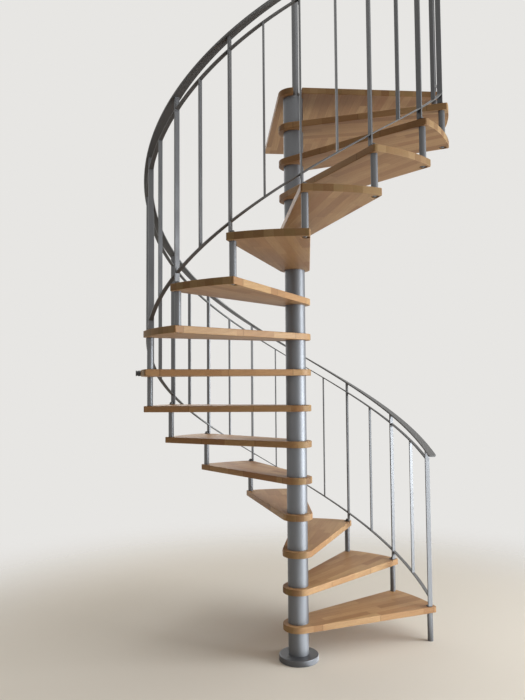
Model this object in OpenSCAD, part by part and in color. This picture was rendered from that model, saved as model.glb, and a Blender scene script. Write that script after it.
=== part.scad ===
// Spiral staircase: wooden wedge treads and tubular sleeves threaded on a round core,
// an outer ring of spacer tubes with a flat-bar balustrade, and a square landing.
// It winds counter-clockwise as it rises. The origin is on the floor, on the column's axis.

/* [Stair] */
// Radius of the treads' outer edge
stair_r = 790; // [700:5:900]
// Rise from one tread's top to the next
rise = 183; // [170:1:205]
// Turn from one tread to the next, in degrees
step_angle = 23; // [20:0.5:26]
// Direction of the first tread's front bolt, in degrees from the +X axis
first_angle = 20.5; // [0:0.5:45]

/* [Treads] */
// Thickness of the tread and landing boards
board_t = 32; // [28:1:44]
// Radius of a board's round end around the column
collar_r = 78; // [70:1:95]
// Wood from the middle of a corner bolt to the tread's straight edge
bolt_margin = 21; // [19:1:32]
// Wood from the bolt circle to the tread's outer edge
edge_margin = 31; // [24:1:45]
// Radius of the rounded outer corners
corner_r = 9; // [4:1:14]
// Radius of the round pocket under each back corner
pocket_r = 19; // [16:0.5:19]
// Depth of that pocket
pocket_h = 9; // [8:0.5:14]

/* [Column] */
// Outer diameter of the sleeves between the treads
sleeve_d = 104; // [90:1:120]
// Wall of a sleeve
sleeve_wall = 3; // [2:0.5:6]
// Thickness of the ring that closes each end of a sleeve
sleeve_ring = 4; // [3:0.5:8]
// Outer diameter of the core tube
core_d = 60.3; // [48:0.1:76]
// Wall of the core tube
core_wall = 4; // [3:0.5:8]
// Diameter of the floor flange
flange_d = 200; // [190:5:260]
// Height of the floor flange
flange_h = 30; // [24:1:50]
// Bolt circle diameter of the floor anchors
anchor_pcd = 150; // [145:1:170]
// Diameter of the anchor holes
anchor_d = 11; // [9:0.5:14]
// Thickness of the disc that closes the top of the column
head_t = 12; // [8:1:20]

/* [Outer spacers] */
// Outer diameter of the spacer tubes
spacer_d = 30; // [26:1:34]
// Wall of the spacer tubes
spacer_wall = 3; // [2:0.5:5]
// Diameter of the threaded rods inside them
rod_d = 12; // [10:1:14]
// Radius of the nuts and cap nuts on the rods
nut_r = 9.5; // [9:0.5:12]
// Height of a nut below a tread
nut_h = 5; // [4:0.5:6]
// Height of a cap nut above a tread
cap_h = 11; // [9:0.5:16]

/* [Balustrade] */
// Width of a main baluster, along the stair's radius
main_w = 25; // [20:1:34]
// Thickness of a main baluster
main_t = 8; // [6:0.5:9]
// Distance of a main baluster in front of its bolt
main_ahead = 13; // [12:0.5:14]
// Distance of the balustrade's middle line inside the bolt circle
rail_inset = 5; // [0:1:10]
// Thickness of the foot plate under each main baluster
foot_t = 4; // [3:0.5:6]
// Width of an infill baluster, along the stair's radius
infill_w = 20; // [15:1:30]
// Thickness of an infill baluster
infill_t = 6; // [5:0.5:8]
// Height of the handrail's underside above each tread
handrail_up = 845; // [800:5:950]
// Width of the handrail
handrail_w = 45; // [35:1:60]
// Thickness of the handrail
handrail_t = 10; // [8:0.5:16]
// Length of the handrail past the first and the last main baluster
handrail_over = 62; // [50:1:90]
// Radius of the rounded corners at the handrail's two ends
handrail_corner = 11; // [4:1:16]
// Width of the thin rails
rail_w = 20; // [12:1:30]
// Thickness of the thin rails
rail_t = 6; // [5:0.5:10]
// Height of the bottom rail's underside above each tread
bottom_rail_up = 48; // [35:1:80]
// Space between the second rail and the handrail
second_rail_gap = 52; // [40:1:90]

/* [Landing] */
// How far the landing reaches past the treads' outer edge, away from its front edge
landing_past = 22; // [0:1:100]
// Turn of the landing's front edge past its bolt, in degrees
landing_turn = 2.5; // [0:0.5:4]
// Diameter of the newel tube beside the column's top
newel_d = 34; // [30:1:36]
// Wall of the newel tube
newel_wall = 2.5; // [2:0.5:4]
// Place of the newel along the landing's front edge
newel_x = 10; // [6:1:12]
// Place of the newel in front of the column's axis
newel_y = 29; // [24:1:29]
// Width of the slot in the landing for the newel
slot_w = 46; // [42:1:50]

/* [Wall spacer] */
// Number of the tread that is held to the wall
wall_tread = 8; // [2:1:14]
// Diameter of the wall spacer
wall_spacer_d = 28; // [24:1:32]
// Length of the wall spacer
wall_spacer_l = 24; // [15:1:60]
// Diameter of the screw hole through it
wall_screw_d = 8; // [6:0.5:10]
// Depth of the screw hole in the tread
wall_screw_depth = 60; // [40:1:120]

/* [Hidden] */
$fn = 64;
// Treads below the landing
TREADS = 15;
// The landing takes the place of one more tread
LANDING = TREADS + 1;
// Room around the core and the rods in the boards
core_gap = 0.5;
rod_gap = 0.5;
// Seat gap where a sloping or curved face meets another piece
seat_gap = 0.2;
// Depth of the core's seat above the underside of the flange
flange_floor = 8;
// Chamfer on the flange and on the newel's cap
chamfer = 3;
// Outer part of a cap nut that is a dome
dome_h = nut_r / 2;
// Thickness and radius of the washer on a nut below a tread
washer_t = 2;
washer_r = pocket_r - 2;
// Half width of the foot plate behind the bolt
foot_back = 13;
// Thickness of the cap on the newel
newel_cap_t = 5;
// Flat stretches along each bay of a rail
bay_parts = 4;
// Main balusters at which a handrail section ends
section_ends = [1, 4, 7, 10, 13, 16];
// Slack that makes a cutter pass right through
past = 1;
// How far a board's round end and corners stand out past its straight edges
round_proud = 0.1;

edge_across = collar_r - round_proud;
bolt_r = stair_r - edge_margin;
rail_r = bolt_r - rail_inset;
board_gap = rise - board_t;
// How far a main baluster stands ahead of its bolt, in degrees
ahead_angle = atan(main_ahead / rail_r);
// Half the angle that a main baluster takes up along a rail
clear_angle = atan((main_t / 2 + seat_gap) / rail_r);
// Rise of the rails for each millimetre along them
rail_slope = rise / (rail_r * step_angle * PI / 180);
second_rail_up = handrail_up - second_rail_gap - rail_t;
column_top = LANDING * rise - board_t;
// Reach of the landing from the column's axis, along its front edge and away from it
landing_x = stair_r;
landing_y = stair_r + landing_past;
landing_angle = bolt_angle(LANDING) + landing_turn;
section_names = [for (s = [1:len(section_ends) - 1]) str("handrail_", s)];
tread_names = [for (n = [1:TREADS]) tread_name(n)];

wood = "burlywood";
steel = "silver";
dark_steel = "slategray";

// Two-digit name of a tread
function tread_name(n) = str("tread_", n < 10 ? "0" : "", n);
// Direction of the bolt at the front corner of tread n
function bolt_angle(n) = first_angle + (n - 1) * step_angle;
// Direction of the main baluster that stands on tread n
function main_angle(n) = bolt_angle(n) - ahead_angle;
// Height that a rail has gained at an angle, from its height at the first main baluster
function helix_z(a) = rise + (a - main_angle(1)) * rise / step_angle;
function polar(r, a) = [r * cos(a), r * sin(a)];
// Angle between a tread's front edge and the line from the axis through its bolt
edge_taper = asin((edge_across - bolt_margin) / bolt_r);
// Outward direction across the front edge, and direction along it
edge_out = [sin(edge_taper), -cos(edge_taper)];
edge_along = [cos(edge_taper), sin(edge_taper)];
// Point at a distance along the front edge and at a distance from the column's axis across it
function edge_point(along, across) = along * edge_along + across * edge_out;
// The point on a tread's back half that mirrors one on its front half
function across_centre(p) = polar(norm(p), step_angle - atan2(p.y, p.x));
// How far along a line that passes the axis at a distance a circle of radius r is met
function chord(r, across) = sqrt(r * r - across * across);

// Places a tread's own frame, with its front bolt on +X and its underside at zero
module at_tread(n) {
    translate([0, 0, n * rise - board_t])
        rotate([0, 0, bolt_angle(n)])
            children();
}

module mirror_to_back() {
    rotate([0, 0, step_angle]) mirror([0, 1, 0]) children();
}

// What the rounding takes off the front outer corner
module corner_waste() {
    across = edge_across - corner_r;
    centre = edge_point(chord(stair_r - corner_r, across), across);
    on_edge = centre + corner_r * edge_out;
    corner = edge_point(chord(stair_r, edge_across), edge_across);
    on_arc = centre * stair_r / (stair_r - corner_r);
    difference() {
        polygon([centre, on_edge + past * edge_out, corner + past * (edge_out + edge_along),
                 on_arc * (1 + past / stair_r)]);
        translate(centre) circle(r = corner_r + round_proud);
    }
}

// Plan of a tread: the round end, two straight edges tangent to it and the outer arc
module tread_plan() {
    inner = edge_point(0, edge_across);
    outer = edge_point(1.2 * stair_r, edge_across);
    difference() {
        union() {
            circle(r = collar_r);
            intersection() {
                circle(r = stair_r, $fn = 180);
                polygon([inner, outer, across_centre(outer), across_centre(inner)]);
            }
        }
        corner_waste();
        mirror_to_back() corner_waste();
        circle(d = core_d + 2 * core_gap);
        translate(polar(bolt_r, 0)) circle(d = rod_d + 2 * rod_gap);
        translate(polar(bolt_r, step_angle)) circle(d = rod_d + 2 * rod_gap);
    }
}

module tread(n) {
    color(wood)
        at_tread(n)
            difference() {
                linear_extrude(height = board_t) tread_plan();
                translate(concat(polar(bolt_r, step_angle), [-past]))
                    cylinder(r = pocket_r, h = pocket_h + past);
                if (n == wall_tread) wall_screw_hole(stair_r - wall_screw_depth, stair_r + past);
            }
}

// Hole across the tread's outer edge, halfway along it and halfway up
module wall_screw_hole(from, to) {
    rotate([0, 0, step_angle / 2])
        translate([from, 0, board_t / 2])
            rotate([0, 90, 0])
                cylinder(d = wall_screw_d, h = to - from);
}

module landing_corner(x, y) {
    translate([x - corner_r, y - corner_r])
        difference() {
            square(corner_r + past);
            circle(r = corner_r + round_proud);
        }
}

// Plan of the landing in its own frame, with its front edge along +X
module landing_plan() {
    difference() {
        union() {
            circle(r = collar_r);
            polygon([[0, -edge_across], [landing_x, -edge_across], [landing_x, landing_y],
                     [-edge_across, landing_y], [-edge_across, 0]]);
        }
        landing_corner(landing_x, landing_y);
        mirror([1, 0]) landing_corner(edge_across, landing_y);
        mirror([0, 1]) landing_corner(landing_x, edge_across);
        // slot for the newel, open to the front edge, with more room on the landing's side
        newel_slot();
        translate(polar(bolt_r, -landing_turn)) circle(d = rod_d + 2 * rod_gap);
    }
}

module newel_slot() {
    middle = newel_x - newel_d / 2 - past + slot_w / 2;
    translate([middle, -newel_y]) circle(d = slot_w);
    translate([middle - slot_w / 2, -collar_r - past])
        square([slot_w, collar_r + past - newel_y]);
}

module landing() {
    color(wood)
        translate([0, 0, column_top])
            rotate([0, 0, landing_angle])
                linear_extrude(height = board_t) landing_plan();
}

module base_flange() {
    color(steel)
        difference() {
            rotate_extrude()
                polygon([[0, 0], [flange_d / 2, 0], [flange_d / 2, flange_h - chamfer],
                         [flange_d / 2 - chamfer, flange_h], [0, flange_h]]);
            translate([0, 0, flange_floor]) cylinder(d = core_d + 2 * seat_gap, h = flange_h);
            for (a = [45:90:315])
                translate(concat(polar(anchor_pcd / 2, a), [-past]))
                    cylinder(d = anchor_d, h = flange_h + 2 * past);
        }
}

module core_tube() {
    color(dark_steel)
        translate([0, 0, flange_floor])
            difference() {
                cylinder(d = core_d, h = column_top - head_t - flange_floor);
                translate([0, 0, -past])
                    cylinder(d = core_d - 2 * core_wall, h = column_top + 2 * past);
            }
}

// A sleeve of height h: a tube whose ends are rings that fit around the core
module sleeve(h) {
    outer = sleeve_d / 2;
    inner = outer - sleeve_wall;
    bore = core_d / 2 + core_gap;
    rotate_extrude()
        polygon([[bore, 0], [outer, 0], [outer, h], [bore, h], [bore, h - sleeve_ring],
                 [inner, h - sleeve_ring], [inner, sleeve_ring], [bore, sleeve_ring]]);
}

module column_sleeves() {
    color(steel) {
        translate([0, 0, flange_h]) sleeve(board_gap - flange_h);
        for (n = [1:TREADS - 1])
            translate([0, 0, n * rise]) sleeve(board_gap);
        translate([0, 0, TREADS * rise]) sleeve(board_gap - head_t);
    }
}

module column_head() {
    color(steel)
        translate([0, 0, column_top - head_t])
            cylinder(d = sleeve_d, h = head_t);
}

module spacer_tubes() {
    color(steel)
        for (n = [1:LANDING])
            translate(concat(polar(bolt_r, bolt_angle(n)), [(n - 1) * rise]))
                difference() {
                    cylinder(d = spacer_d, h = board_gap);
                    translate([0, 0, -past])
                        cylinder(d = spacer_d - 2 * spacer_wall, h = board_gap + 2 * past);
                }
}

// Profile of a rod with its cap nut on the foot plate, above zero, and its lower end at z = low
module rod_top(low) {
    top = foot_t + cap_h;
    rotate_extrude()
        polygon([[0, low], [rod_d / 2, low], [rod_d / 2, foot_t], [nut_r, foot_t],
                 [nut_r, top - dome_h], [nut_r * 0.7, top - dome_h * 0.35], [0, top]]);
}

// Washer and nut in the pocket of the tread below, hanging from z = seat
module rod_nut(seat) {
    low = seat - washer_t - nut_h;
    rotate_extrude()
        polygon([[0, low], [nut_r, low], [nut_r, seat - washer_t], [washer_r, seat - washer_t],
                 [washer_r, seat], [0, seat]]);
}

module spacer_rods() {
    color(dark_steel)
        for (n = [1:LANDING])
            translate(concat(polar(bolt_r, bolt_angle(n)), [n * rise]))
                if (n == 1) {
                    rod_top(-board_t - board_gap + foot_t);
                } else {
                    seat = pocket_h - board_t - rise;
                    rod_top(seat);
                    rod_nut(seat);
                }
}

// A flat bar along the stair's height, width along the radius, with ends cut to the rails' slope
module sloped_bar(width, thick, bottom, bottom_slope, top) {
    half = thick / 2;
    translate([width / 2, 0, 0])
        rotate([90, 0, -90])
            linear_extrude(height = width)
                polygon([[-half, bottom + bottom_slope * half], [half, bottom - bottom_slope * half],
                         [half, top - rail_slope * half], [-half, top + rail_slope * half]]);
}

// A main baluster with the foot plate that its bolt clamps to the tread
module main_baluster() {
    rotate([0, 0, -ahead_angle])
        translate([rail_r, 0, 0])
            sloped_bar(main_w, main_t, 0, 0, handrail_up - seat_gap);
    difference() {
        translate([rail_r - main_w / 2, -main_ahead, 0])
            cube([main_w, main_ahead + foot_back, foot_t]);
        translate(concat(polar(bolt_r, 0), [-past]))
            cylinder(d = rod_d + 2 * rod_gap, h = foot_t + 2 * past);
    }
}

module main_balusters() {
    color(steel)
        for (n = [1:LANDING])
            translate([0, 0, n * rise]) rotate([0, 0, bolt_angle(n)]) main_baluster();
}

module infill_balusters() {
    color(steel)
        for (n = [1:TREADS]) {
            a = main_angle(n) + step_angle / 2;
            translate([0, 0, helix_z(a)])
                rotate([0, 0, a])
                    translate([rail_r, 0, 0])
                        sloped_bar(infill_w, infill_t, bottom_rail_up + rail_t + seat_gap, rail_slope,
                                   second_rail_up - seat_gap);
        }
}

// Evenly spaced stations of a bar from angle a to angle b, as [angle, share of the full width]
function stations(a, b, parts) = [for (i = [0:parts]) [a + (b - a) * i / parts, 1]];

// A bar that winds through its stations. Its section is a list of [radius, height] points,
// counter-clockwise, and its height follows the helix of the treads.
module wound_bar(section, stations) {
    k = len(section);
    parts = len(stations) - 1;
    points = [for (s = stations)
                  for (p = section)
                      let (r = rail_r + (p.x - rail_r) * s[1])
                      [r * cos(s[0]), r * sin(s[0]), p.y + helix_z(s[0])]];
    sides = [for (i = [0:parts - 1]) for (j = [0:k - 1])
                 let (j2 = (j + 1) % k)
                 for (face = [[i * k + j, (i + 1) * k + j, (i + 1) * k + j2],
                              [i * k + j, (i + 1) * k + j2, i * k + j2]]) face];
    start = [for (j = [0:k - 1]) j];
    end = [for (j = [k - 1:-1:0]) parts * k + j];
    polyhedron(points, concat([start], sides, [end]), convexity = 4);
}

// Square-edged section of a thin rail whose underside is up above the treads
function rail_section(up) =
    [[rail_r - rail_w / 2, up], [rail_r + rail_w / 2, up],
     [rail_r + rail_w / 2, up + rail_t], [rail_r - rail_w / 2, up + rail_t]];

// Section of the handrail, with its long edges eased
function handrail_section() =
    let (w = handrail_w / 2, t = handrail_t, e = handrail_t / 4)
    [for (p = [[e - w, 0], [w - e, 0], [w, e], [w, t - e], [w - e, t], [e - w, t], [-w, t - e], [-w, e]])
         [rail_r + p.x, handrail_up + p.y]];

// One length of thin rail for each bay, between two main balusters
module thin_rail(up) {
    for (n = [1:TREADS])
        wound_bar(rail_section(up),
                  stations(main_angle(n) + clear_angle, main_angle(n + 1) - clear_angle, bay_parts));
}

module bottom_rail() {
    color(steel) thin_rail(bottom_rail_up);
}

module second_rail() {
    color(steel) thin_rail(second_rail_up);
}

// Angle that a length along the handrail takes up
function along_rail(l) = l / rail_r * 180 / PI;

// Stations that round the corners of the handrail's end at an angle. The bar runs on towards
// larger angles if way is 1, and towards smaller ones if it is -1.
function rounded_end(at, way) =
    let (half = handrail_w / 2)
    [for (t = [0:22.5:67.5])
         [at + way * along_rail(handrail_corner * (1 - cos(t))),
          (half - handrail_corner * (1 - sin(t))) / half]];

function reversed(list) = [for (i = [len(list) - 1:-1:0]) list[i]];

// One length of handrail, from one main baluster to another
module handrail_length(s) {
    first = section_ends[s - 1];
    last = section_ends[s];
    bars = stations(main_angle(first), main_angle(last), (last - first) * bay_parts);
    start = main_angle(first) - along_rail(handrail_over);
    end = main_angle(last) + along_rail(handrail_over);
    corner = along_rail(handrail_corner);
    before = s == 1 ? concat(rounded_end(start, 1), [[start + corner, 1]]) : [];
    after = s == len(section_ends) - 1 ? concat([[end - corner, 1]], reversed(rounded_end(end, -1))) : [];
    color(dark_steel)
        wound_bar(handrail_section(), concat(before, bars, after));
}

// Places the landing's frame at the top of the column
module at_landing() {
    translate([0, 0, column_top]) rotate([0, 0, landing_angle]) children();
}

newel_h = board_t + handrail_up;

module landing_newel() {
    color(steel)
        at_landing()
            translate([newel_x, -newel_y, 0])
                difference() {
                    cylinder(d = newel_d, h = newel_h);
                    translate([0, 0, -past])
                        cylinder(d = newel_d - 2 * newel_wall, h = newel_h + 2 * past);
                }
}

module newel_cap() {
    color(dark_steel)
        at_landing()
            translate([newel_x, -newel_y, newel_h])
                rotate_extrude()
                    polygon([[0, 0], [newel_d / 2, 0], [newel_d / 2, newel_cap_t - chamfer],
                             [newel_d / 2 - chamfer, newel_cap_t], [0, newel_cap_t]]);
}

module wall_spacer() {
    color(dark_steel)
        at_tread(wall_tread)
            rotate([0, 0, step_angle / 2])
                translate([stair_r + seat_gap, 0, board_t / 2])
                    rotate([0, 90, 0])
                        difference() {
                            cylinder(d = wall_spacer_d, h = wall_spacer_l);
                            translate([0, 0, -past])
                                cylinder(d = wall_screw_d, h = wall_spacer_l + 2 * past);
                        }
}

base_flange();
core_tube();
column_sleeves();
column_head();
for (n = [1:TREADS])
    tread(n);
landing();
spacer_tubes();
spacer_rods();
main_balusters();
infill_balusters();
bottom_rail();
second_rail();
for (s = [1:len(section_names)])
    handrail_length(s);
landing_newel();
newel_cap();
wall_spacer();
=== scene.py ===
"""Looks of the spiral staircase: laminated wooden treads on a column of painted steel sleeves,
spacer tubes and rods at the rim, a balustrade of flat bars and a square landing.
Lengths are in metres and angles in degrees. The sizes repeat those of the solids."""

import math
import random

import bmesh
import bpy
from mathutils import Matrix, Vector


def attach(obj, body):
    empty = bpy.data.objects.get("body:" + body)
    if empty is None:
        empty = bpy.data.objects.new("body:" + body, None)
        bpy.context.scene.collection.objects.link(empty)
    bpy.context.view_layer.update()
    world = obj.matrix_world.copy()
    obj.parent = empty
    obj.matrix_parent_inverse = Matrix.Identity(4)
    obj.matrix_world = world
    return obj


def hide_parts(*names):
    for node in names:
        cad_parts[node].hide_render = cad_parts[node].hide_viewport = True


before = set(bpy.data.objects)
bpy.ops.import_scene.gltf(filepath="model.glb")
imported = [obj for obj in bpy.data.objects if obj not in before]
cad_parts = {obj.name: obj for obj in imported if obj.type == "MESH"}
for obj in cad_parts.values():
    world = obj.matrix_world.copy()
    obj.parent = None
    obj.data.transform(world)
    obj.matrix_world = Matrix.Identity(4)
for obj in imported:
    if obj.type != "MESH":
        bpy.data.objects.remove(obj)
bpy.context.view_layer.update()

# The stair and its boards, with the angles of one step and of the first bolt
TREADS = 15
LANDING = TREADS + 1
RISE = 0.183
STEP = 23.0
FIRST = 20.5
STAIR_R = 0.790
BOARD_T = 0.032
BOARD_GAP = RISE - BOARD_T
BOARD_EDGE = 0.0028
COLLAR_R = 0.078
CORNER_R = 0.009
BOLT_MARGIN = 0.021
BOLT_INSET = 0.031
BOLT_R = STAIR_R - BOLT_INSET
HOLE_PLAY = 0.0005

# The column
SLEEVE_R, SLEEVE_WALL = 0.052, 0.003
CORE_R = 0.03015
CORE_BORE = CORE_R + HOLE_PLAY
FLANGE_R, FLANGE_H, FLANGE_FOOT = 0.100, 0.030, 0.001
ANCHOR_PCD = 0.150
ANCHOR_ANGLES = (45, 135, 225, 315)
ANCHOR_SUNK = 0.0004
HEAD_T, HEAD_FOOT, HEAD_RIM = 0.012, 0.0005, 0.001
COLUMN_TOP = LANDING * RISE - BOARD_T

# The outer spacers, their rods and nuts
SPACER_R, SPACER_WALL = 0.015, 0.003
ROD_R = 0.006
ROD_BORE = ROD_R + HOLE_PLAY
ROD_SHOWN = 0.02
ROD_OUT, ROD_TIP_IN, ROD_TIP_H = 0.002, 0.001, 0.0008
WASHER_R, WASHER_T = 0.0094, 0.0012
CAP_NUT_R, CAP_NUT_T = 0.0092, 0.0046
DOME_R, DOME_H, DOME_SUNK = 0.0076, 0.0052, 0.0002
POCKET_R, POCKET_H = 0.019, 0.009
POCKET_WASHER_R, POCKET_WASHER_T = POCKET_R - 0.002, 0.0018
NUT_R, NUT_T, NUT_TURN = 0.0095, 0.005, 15

# The balustrade, with the slope of its rails in radians
RAIL_INSET = 0.005
RAIL_R = BOLT_R - RAIL_INSET
SLOPE = math.atan(RISE / (RAIL_R * math.radians(STEP)))
MAIN_W, MAIN_T, MAIN_SUNK = 0.025, 0.008, 0.0005
MAIN_AHEAD = 0.013
AHEAD_ANGLE = math.degrees(math.atan(MAIN_AHEAD / RAIL_R))
FOOT_T, FOOT_CORNER_R = 0.004, 0.0065
INFILL_W, INFILL_T = 0.020, 0.006
HANDRAIL_UP, HANDRAIL_W, HANDRAIL_T = 0.845, 0.045, 0.010
HANDRAIL_OVER, HANDRAIL_CORNER = 0.062, 0.011
SECTION_ENDS = (1, 4, 7, 10, 13, 16)
RAIL_W, RAIL_T = 0.020, 0.006
BOTTOM_UP = 0.048
SECOND_BELOW = 0.052
SECOND_UP = HANDRAIL_UP - SECOND_BELOW - RAIL_T
CLIP_HALF_W, CLIP_T, CLIP_REACH, CLIP_DROP = 0.0065, 0.0018, 0.011, 0.016

# The landing in its own frame, with the front edge along +X, and its newel
LANDING_SKEW = 2.5
LANDING_TURN = FIRST + TREADS * STEP + LANDING_SKEW
LANDING_DEEPER = 0.022
LANDING_X, LANDING_Y = STAIR_R, STAIR_R + LANDING_DEEPER
NEWEL_R, NEWEL_WALL, NEWEL_PLAY = 0.017, 0.0025, 0.001
NEWEL_X, NEWEL_Y = 0.010, -0.029
NEWEL_H, NEWEL_CAP_T = BOARD_T + HANDRAIL_UP, 0.005
SLOT_W = 0.046

# The wall spacer and the hole for its screw in the edge of a tread
SCREW_TREAD = 8
SCREW_HOLE_R, SCREW_HOLE_DEPTH = 0.004, 0.06
WALL_R, WALL_L, WALL_CHAMFER = 0.014, 0.024, 0.001
DRUM_END, NECK_START, NECK_END = 0.55 * WALL_L, 0.6 * WALL_L, WALL_L - 0.005
NECK_R = WALL_R - 0.0025
PLATE_T = 0.004

# Thin gaps where pieces meet, and how far a cutter goes past a face
SEAT_GAP = 0.0002
AIR = 0.0001
PAST = 0.01

# Eased edges, the steps that ease them and the bend above which an edge is eased
TUBE_CHAMFER = 0.0008
BAR_EDGE, FOOT_EDGE, NUT_EDGE, CLIP_EDGE = 0.0008, 0.0005, 0.0004, 0.0003
HANDRAIL_EDGE, RAIL_EDGE = 0.0026, 0.0009
BOARD_EDGE_STEPS, RAIL_EDGE_STEPS, EDGE_STEPS = 3, 3, 2
EDGE_ANGLE, NUT_EDGE_ANGLE = 40.0, 50.0

# The bend up to which faces are shaded as one smooth surface
SMOOTH_ANGLE, BOARD_SMOOTH_ANGLE = 32.0, 40.0

# Facets round turned pieces, steps along arcs and stations along rails
FLANGE_FACETS, SLEEVE_FACETS, TUBE_FACETS = 96, 72, 40
HEAD_FACETS, NUT_FACETS, ROD_FACETS = 28, 24, 20
RIM_STEPS, COLLAR_STEPS, LANDING_COLLAR_STEPS = 26, 40, 24
CORNER_STEPS, FOOT_STEPS, SLOT_STEPS, DOME_STEPS = 6, 5, 20, 6
RAIL_STATIONS, HANDRAIL_STATIONS = 260, 72

# The flange's rim and the newel cap's crown: in from the side, up from the flange's or tube's top
FLANGE_RIM = ((0.0, -0.005), (0.0012, -0.0022), (0.004, -0.0004), (0.007, 0.0))
NEWEL_CROWN = ((0.0, 0.0015), (0.001, 0.003), (0.004, 0.0043), (0.009, 0.005))

# An anchor's head with its round recess, and the cutter of a nut's pocket, as radius and height
ANCHOR_HEAD = ((0, 0.0001), (0.0030, 0.0001), (0.0036, 0.0011), (0.0082, 0.0013), (0.0090, 0.0007),
               (0.0090, 0), (0, -0.001))
POCKET_MOUTH_R = POCKET_R + 0.0014
POCKET = ((0, -0.002), (POCKET_MOUTH_R, -0.002), (POCKET_MOUTH_R, -0.0001), (POCKET_R, 0.0012),
          (POCKET_R, POCKET_H), (ROD_BORE, POCKET_H), (ROD_BORE, BOARD_T + PAST), (0, BOARD_T + PAST))


def polar(r, degrees, z=0.0):
    a = math.radians(degrees)
    return Vector((r * math.cos(a), r * math.sin(a), z))


def bolt_angle(n):
    """Angle of the bolt through a board's front corner."""
    return FIRST + (n - 1) * STEP


def main_angle(n):
    """Angle of the main baluster on a board."""
    return bolt_angle(n) - AHEAD_ANGLE


def helix_z(degrees):
    """Height of the line that climbs from tread to tread through the main balusters' feet."""
    return RISE + (degrees - main_angle(1)) * RISE / STEP


def turn(degrees, z=0.0):
    """A turn round the column's axis, and a lift."""
    return Matrix.Translation((0, 0, z)) @ Matrix.Rotation(math.radians(degrees), 4, "Z")


AT_BOLT = Matrix.Translation((BOLT_R, 0, 0))
ALONG_X = Matrix.Rotation(math.pi / 2, 4, "Y")
NEWEL_PLACE = turn(LANDING_TURN, COLUMN_TOP) @ Matrix.Translation((NEWEL_X, NEWEL_Y, 0))
WALL_PLACE = (turn(bolt_angle(SCREW_TREAD) + STEP / 2, SCREW_TREAD * RISE - BOARD_T / 2)
              @ Matrix.Translation((STAIR_R + SEAT_GAP, 0, 0)) @ ALONG_X)


# Meshes


def new_object(name, fill):
    """A new object whose mesh fill(bm) draws."""
    bm = bmesh.new()
    fill(bm)
    bmesh.ops.recalc_face_normals(bm, faces=bm.faces)
    mesh = bpy.data.meshes.new(name)
    bm.to_mesh(mesh)
    bm.free()
    obj = bpy.data.objects.new(name, mesh)
    bpy.context.scene.collection.objects.link(obj)
    return obj


def make_plain(obj):
    """Turns what the object's modifiers make into its plain mesh."""
    shape = obj.evaluated_get(bpy.context.evaluated_depsgraph_get())
    mesh = bpy.data.meshes.new_from_object(shape)
    old = obj.data
    obj.modifiers.clear()
    obj.data = mesh
    bpy.data.meshes.remove(old)
    return mesh


def settle(obj, smooth_angle=SMOOTH_ANGLE):
    """Makes the piece a plain mesh, smooth over its eased edges and even on its flats."""
    mesh = make_plain(obj)
    bm = bmesh.new()
    bm.from_mesh(mesh)
    bmesh.ops.recalc_face_normals(bm, faces=bm.faces)
    bm.to_mesh(mesh)
    bm.free()
    mesh.polygons.foreach_set("use_smooth", [True] * len(mesh.polygons))
    mesh.set_sharp_from_angle(angle=math.radians(smooth_angle))
    even = obj.modifiers.new("even flats", "WEIGHTED_NORMAL")
    even.keep_sharp = True
    make_plain(obj)
    return obj


def wear(obj, material, slot, *nodes):
    """Gives a finished piece its material and its place in the part, and hides the solids it replaces."""
    obj.data.materials.clear()
    obj.data.materials.append(material)
    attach(obj, "root")
    if nodes:
        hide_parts(*nodes)


def finished(name, draw, material, slot, *nodes):
    """Makes a piece from what draw(bm) draws."""
    wear(settle(new_object(name, draw)), material, slot, *nodes)


def lathe(bm, profile, segments, place=Matrix()):
    """Revolves (radius, height) points about Z: a closed ring, or a solid if it ends on the axis."""
    rings = []
    for r, z in profile:
        count = 1 if r == 0 else segments
        steps = [2 * math.pi * i / segments for i in range(count)]
        rings.append([bm.verts.new(place @ Vector((r * math.cos(a), r * math.sin(a), z))) for a in steps])
    pairs = list(zip(rings, rings[1:]))
    if all(r > 0 for r, z in profile):
        pairs.append((rings[-1], rings[0]))
    for low, high in pairs:
        for i in range(segments):
            j = (i + 1) % segments
            corners = [low[i % len(low)], low[j % len(low)], high[j % len(high)], high[i % len(high)]]
            corners = list(dict.fromkeys(corners))
            if len(corners) > 2:
                bm.faces.new(corners)


def prism(bm, outline, bottom, top, place=Matrix()):
    """Extrudes a plan between the heights bottom(p) and top(p), which may slope."""
    low = [bm.verts.new(place @ Vector((p.x, p.y, bottom(p)))) for p in outline]
    high = [bm.verts.new(place @ Vector((p.x, p.y, top(p)))) for p in outline]
    bm.faces.new(list(reversed(low)))
    bm.faces.new(high)
    for i in range(len(low)):
        j = (i + 1) % len(low)
        bm.faces.new([low[i], low[j], high[j], high[i]])


def flat(z):
    """The same height all over a plan."""
    return lambda p: z


def sloping(z):
    """A height that follows the rails' slope across a plan."""
    return lambda p: z + math.tan(SLOPE) * p.y


def oblong(x0, x1, y0, y1):
    return [Vector((x0, y0, 0)), Vector((x1, y0, 0)), Vector((x1, y1, 0)), Vector((x0, y1, 0))]


def arc(centre, r, start, end, steps):
    """Points on an arc from one direction to another, both ends included."""
    return [centre + polar(r, start + (end - start) * i / steps) for i in range(steps + 1)]


def stepped(r, z, steps):
    """Profile points this far in from a radius and up from a height."""
    return [(r - inward, z + up) for inward, up in steps]


def tube(r, wall, z0, z1):
    """Profile of a tube with a small chamfer on its outer rims."""
    inner, c = r - wall, TUBE_CHAMFER
    return [(inner, z0), (r - c, z0), (r, z0 + c), (r, z1 - c), (r - c, z1), (inner, z1)]


def drill(r, low, high):
    """Profile of a cutter for a straight hole."""
    return [(0, low), (r, low), (r, high), (0, high)]


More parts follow.
